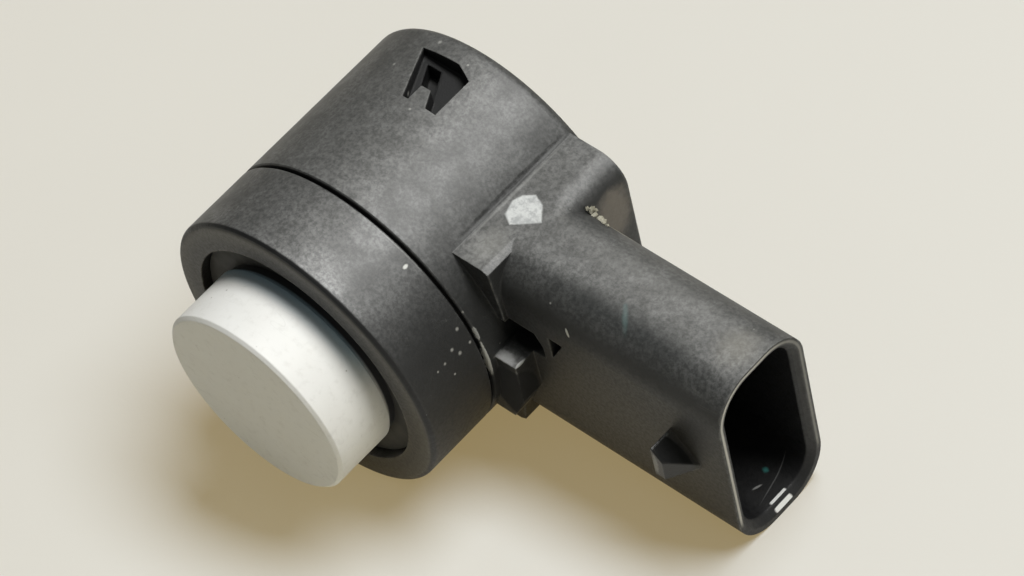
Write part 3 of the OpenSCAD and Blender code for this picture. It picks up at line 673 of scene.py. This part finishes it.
innerWear = {"edgeShare": 0.5, "dustShare": 0.06, "grainShare": 0.2}  # shared by the inner finishes
innerLooks = {
    "sealRubber": {
        "nodes": ("seam_gasket",), "tones": ((0.008, 0.008, 0.008, 1), (0.02, 0.02, 0.02, 1)),
        "worn": (0.06, 0.06, 0.058, 1), "roughness": (0.6, 0.8), "dust": 0.10, "depth": 0.01,
    },
    "collarRubber": {
        "nodes": ("decoupling_ring",), "tones": ((0.035, 0.035, 0.034, 1), (0.065, 0.064, 0.06, 1)),
        "worn": (0.12, 0.12, 0.115, 1), "roughness": (0.6, 0.8), "dust": 0.2, "depth": 0.01,
    },
    "piezoCeramic": {
        "nodes": ("piezo_disc",), "tones": ((0.46, 0.39, 0.24, 1), (0.58, 0.50, 0.33, 1)),
        "worn": (0.7, 0.64, 0.5, 1), "roughness": (0.5, 0.65), "depth": 0.004,
    },
    "dampingFoam": {
        "nodes": ("damping_foam",), "tones": ((0.20, 0.205, 0.21, 1), (0.30, 0.31, 0.32, 1)),
        "worn": (0.34, 0.34, 0.35, 1), "roughness": (0.85, 0.95), "depth": 0.05, "pattern": foamCells,
    },
    "cupPotting": {
        "nodes": ("cup_plug",), "tones": ((0.08, 0.10, 0.12, 1), (0.13, 0.16, 0.18, 1)),
        "worn": (0.2, 0.23, 0.25, 1), "roughness": (0.25, 0.45), "depth": 0.01,
    },
    "liveWire": {
        "nodes": ("live_lead",), "tones": ((0.33, 0.02, 0.02, 1), (0.45, 0.035, 0.03, 1)),
        "worn": (0.5, 0.12, 0.1, 1), "roughness": (0.35, 0.5), "depth": 0.003,
    },
    "returnWire": {
        "nodes": ("return_lead",), "tones": ((0.06, 0.06, 0.06, 1), (0.11, 0.11, 0.11, 1)),
        "worn": (0.2, 0.2, 0.2, 1), "roughness": (0.35, 0.5), "depth": 0.003,
    },
    "solderResist": {
        "nodes": ("circuit_board",), "tones": ((0.012, 0.085, 0.03, 1), (0.025, 0.13, 0.055, 1)),
        "worn": (0.22, 0.2, 0.1, 1), "roughness": (0.22, 0.35), "depth": 0.01, "pattern": boardTracks,
    },
    "chipBlack": {
        "nodes": ("control_chip",), "tones": ((0.011, 0.011, 0.012, 1), (0.02, 0.02, 0.021, 1)),
        "worn": (0.07, 0.07, 0.07, 1), "roughness": (0.45, 0.6), "depth": 0.006,
    },
    "resistorBlack": {
        "nodes": ("chip_resistors",), "tones": ((0.012, 0.012, 0.013, 1), (0.02, 0.02, 0.022, 1)),
        "worn": (0.1, 0.1, 0.1, 1), "roughness": (0.3, 0.45), "depth": 0.004,
        "pattern": tinnedEnds(3.6, 0.52),
    },
    "capacitorTan": {
        "nodes": ("filter_capacitors",), "tones": ((0.38, 0.25, 0.13, 1), (0.48, 0.33, 0.18, 1)),
        "worn": (0.55, 0.42, 0.28, 1), "roughness": (0.3, 0.45), "depth": 0.004,
        "pattern": tinnedEnds(-1.6, 0.52),
    },
    "ferriteCore": {
        "nodes": ("transformer_core",), "tones": ((0.05, 0.047, 0.044, 1), (0.08, 0.075, 0.07, 1)),
        "worn": (0.16, 0.15, 0.14, 1), "roughness": (0.45, 0.6), "depth": 0.008,
    },
    "copperWinding": {
        "nodes": ("transformer_coil",), "tones": ((0.48, 0.18, 0.06, 1), (0.62, 0.26, 0.10, 1)),
        "worn": (0.7, 0.34, 0.16, 1), "roughness": (0.25, 0.38), "metallic": 0.9, "depth": 0.12,
        "pattern": windings,
    },
    "canSleeve": {
        "nodes": ("storage_capacitor",), "tones": ((0.02, 0.035, 0.09, 1), (0.035, 0.055, 0.13, 1)),
        "worn": (0.15, 0.17, 0.22, 1), "roughness": (0.25, 0.4), "depth": 0.006, "pattern": sleeveStripe,
    },
    "tinnedMetal": {
        "nodes": ("clock_crystal", "solder_joints"),
        "tones": ((0.52, 0.53, 0.55, 1), (0.66, 0.67, 0.68, 1)), "worn": (0.75, 0.75, 0.75, 1),
        "roughness": (0.22, 0.4), "metallic": 1.0, "depth": 0.006,
    },
    "platedPin": {
        "nodes": ("supply_terminal", "signal_terminal", "ground_terminal"),
        "tones": ((0.60, 0.43, 0.17, 1), (0.74, 0.56, 0.25, 1)), "worn": (0.8, 0.66, 0.4, 1),
        "roughness": (0.2, 0.36), "metallic": 1.0, "depth": 0.003,
    },
}


def makeInnerFinish(name, look):
    material, tree, shader = startMaterial(name)
    surface = placeGroup(tree, grain, scale=9.0, drift=0.8)
    edges = placeGroup(tree, wear, width=0.0001, corner=0.0006, round=0.00006)
    veil = placeGroup(tree, dust, scale=1.6, reach=1.2, patchy=0.7, open=edges["open"])["mask"]
    tone = blendTone(tree, surface["tone"], *look["tones"])
    metal, height = look.get("metallic", 0.0), surface["height"]
    if "pattern" in look:
        tone, metal, relief = look["pattern"](tree, tone, metal)
        height = maths(tree, "ADD", relief, maths(tree, "MULTIPLY", height, innerWear["grainShare"]))
    rubbed = maths(tree, "MULTIPLY", edges["rubbed"], innerWear["edgeShare"])
    tone = blendTone(tree, rubbed, tone, look["worn"])
    dusted = maths(tree, "MULTIPLY", veil, look.get("dust", innerWear["dustShare"]))
    tone = blendTone(tree, dusted, tone, housingLook["dust"])
    wire(tree, shader.inputs["Base Color"], tone)
    wire(tree, shader.inputs["Metallic"], metal)
    wire(tree, shader.inputs["Roughness"], remap(tree, surface["tone"], 0.3, 0.7, *look["roughness"]))
    bumped(tree, shader, height, look["depth"], edges["normal"])
    return material


for name, look in innerLooks.items():
    dress(makeInnerFinish(name, look), *look["nodes"])
print("inner pieces dressed:", len(innerLooks))


# Crumbs of dried dirt in the hollow corner behind the barrel

crumbLook = {
    "places": ((13.0, 17.65, 0.27), (13.2, 18.15, 0.20), (13.3, 17.5, 0.20), (13.6, 17.6, 0.16),
               (13.9, 17.45, 0.21), (14.3, 17.35, 0.17), (14.55, 17.15, 0.15), (13.6, 17.85, 0.15),
               (14.1, 17.55, 0.16), (12.85, 17.4, 0.15), (14.9, 17.15, 0.11), (13.05, 17.9, 0.16),
               (13.4, 17.75, 0.16)),  # x, y and radius
    "tones": ((0.15, 0.14, 0.10, 1), (0.44, 0.42, 0.34, 1)),
    "roughness": (0.8, 0.95),
    "lumpiness": 0.45,
    "waves": 5,
    "stretch": (0.7, 1.5),
    "relief": 0.08,
    "sunk": 0.35,  # share of a crumb's radius below the surface
    "seed": 4,
}


def makeCrumbs(look):
    rng = random.Random(look["seed"])
    housing = parts["housing"]
    toHousing = housing.matrix_world.inverted()
    mesh = bmesh.new()
    for x, y, radius in look["places"]:
        start = toHousing @ Vector((x * mm, y * mm, cadBox[1].z * 1.2))
        surface = housing.ray_cast(start, toHousing.to_3x3() @ Vector((0, 0, -1)))[1]
        centre = housing.matrix_world @ surface + Vector((0, 0, radius * mm * (1 - look["sunk"])))
        lump = bmesh.ops.create_icosphere(mesh, subdivisions=2, radius=radius * mm)["verts"]
        waves = [(Vector([rng.uniform(-1, 1) for axis in range(3)]).normalized(), rng.uniform(1.5, 4.0),
                  rng.uniform(0, 6.28)) for wave in range(look["waves"])]
        stretch = Vector([rng.uniform(*look["stretch"]) for axis in range(3)])
        for vert in lump:
            out = vert.co.normalized()
            vert.co = vert.co * stretch
            swell = sum(sin(pace * 2 * out.dot(way) + shift) for way, pace, shift in waves) / len(waves)
            vert.co = vert.co * (1 + look["lumpiness"] * swell) + centre
    data = bpy.data.meshes.new("dirtCrumbs")
    mesh.to_mesh(data)
    mesh.free()
    crumbs = bpy.data.objects.new("dirtCrumbs", data)
    bpy.context.collection.objects.link(crumbs)
    material, tree, shader = startMaterial("driedDirt")
    surface = placeGroup(tree, grain, scale=6.0, drift=1.6)
    tone = blendTone(tree, remap(tree, surface["tone"], 0.3, 0.65), *look["tones"])
    wire(tree, shader.inputs["Base Color"], tone)
    wire(tree, shader.inputs["Roughness"], remap(tree, surface["tone"], 0.3, 0.7, *look["roughness"]))
    bumped(tree, shader, surface["height"], look["relief"])
    data.materials.append(material)
    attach(crumbs, "root")


makeCrumbs(crumbLook)
print("crumbs laid:", len(crumbLook["places"]))


# Floor, light and world

floorLook = {
    "tones": ((0.68, 0.625, 0.48, 1), (0.72, 0.66, 0.51, 1)),
    "seenTones": ((0.443, 0.489, 0.546, 1), (0.476, 0.523, 0.581, 1)),  # pale in the light, with the glow
    "glow": (0.275, 0.206, 0.092, 1),  # keeps the shadow pale and warm
    "roughness": 0.6,
    "relief": 0.01,
    "side": 2.4,  # metres
}
keyPlan = {  # metres and watts
    "from": (0.20, 0.31, 0.92),
    "distance": 0.9,
    "width": 0.76,
    "depth": 0.32,
    "power": 8.7,
    "colour": (1.0, 1.0, 0.975),
}
roomLook = {"left": (0.075, 0.079, 0.075, 1), "right": (0.20, 0.207, 0.20, 1), "turnOver": (-0.8, 0.8)}


def makeFloor(look):
    mesh = bpy.data.meshes.new("floor")
    half = look["side"] / 2
    corners = [(-half, -half, 0), (half, -half, 0), (half, half, 0), (-half, half, 0)]
    mesh.from_pydata(corners, [], [(0, 1, 2, 3)])
    floor = bpy.data.objects.new("floor", mesh)
    bpy.context.collection.objects.link(floor)
    floor.matrix_world = Matrix.Translation(-floorUp * bodyRadius * mm) @ Matrix.Rotation(-lean, 4, "Y")
    material, tree, shader = startMaterial("paleFloor")
    surface = placeGroup(tree, grain, scale=1.5, drift=0.02)
    rays = addNode(tree, "LightPath").outputs
    seen = maths(tree, "ADD", rays["Is Camera Ray"], rays["Is Glossy Ray"], clamp=True)
    lighting = blendTone(tree, surface["tone"], *look["tones"])
    shown = blendTone(tree, surface["tone"], *look["seenTones"])
    wire(tree, shader.inputs["Base Color"], blendTone(tree, seen, lighting, shown))
    wire(tree, shader.inputs["Emission Color"], blendTone(tree, seen, (0, 0, 0, 1), look["glow"]))
    shader.inputs["Emission Strength"].default_value = 1.0
    shader.inputs["Roughness"].default_value = look["roughness"]
    bumped(tree, shader, surface["height"], look["relief"])
    mesh.materials.append(material)


def makeLamp(name, plan):
    data = bpy.data.lights.new(name, "AREA")
    data.shape = "ELLIPSE"
    data.size = plan["width"]
    data.size_y = plan["depth"]
    data.energy = plan["power"]
    data.color = plan["colour"]
    lamp = bpy.data.objects.new(name, data)
    bpy.context.collection.objects.link(lamp)
    away = Vector(plan["from"]).normalized()
    wide = (Vector((1, 0, 0)) - away * away.x).normalized()
    turned = Matrix((wide, away.cross(wide), away)).transposed().to_4x4()
    lamp.matrix_world = Matrix.Translation(away * plan["distance"]) @ turned


def makeRoom(look):
    world = bpy.data.worlds.new("softRoom")
    world.use_nodes = True
    tree = world.node_tree
    x, y, z = splitAxes(tree, addNode(tree, "TexCoord").outputs["Generated"])
    side = remap(tree, x, *look["turnOver"])
    wire(tree, tree.nodes["Background"].inputs["Color"], blendTone(tree, side, look["left"], look["right"]))
    bpy.context.scene.world = world


makeFloor(floorLook)
makeLamp("keyLight", keyPlan)
makeRoom(roomLook)
bpy.context.scene.view_settings.view_transform = "Standard"
print("floor and light set")
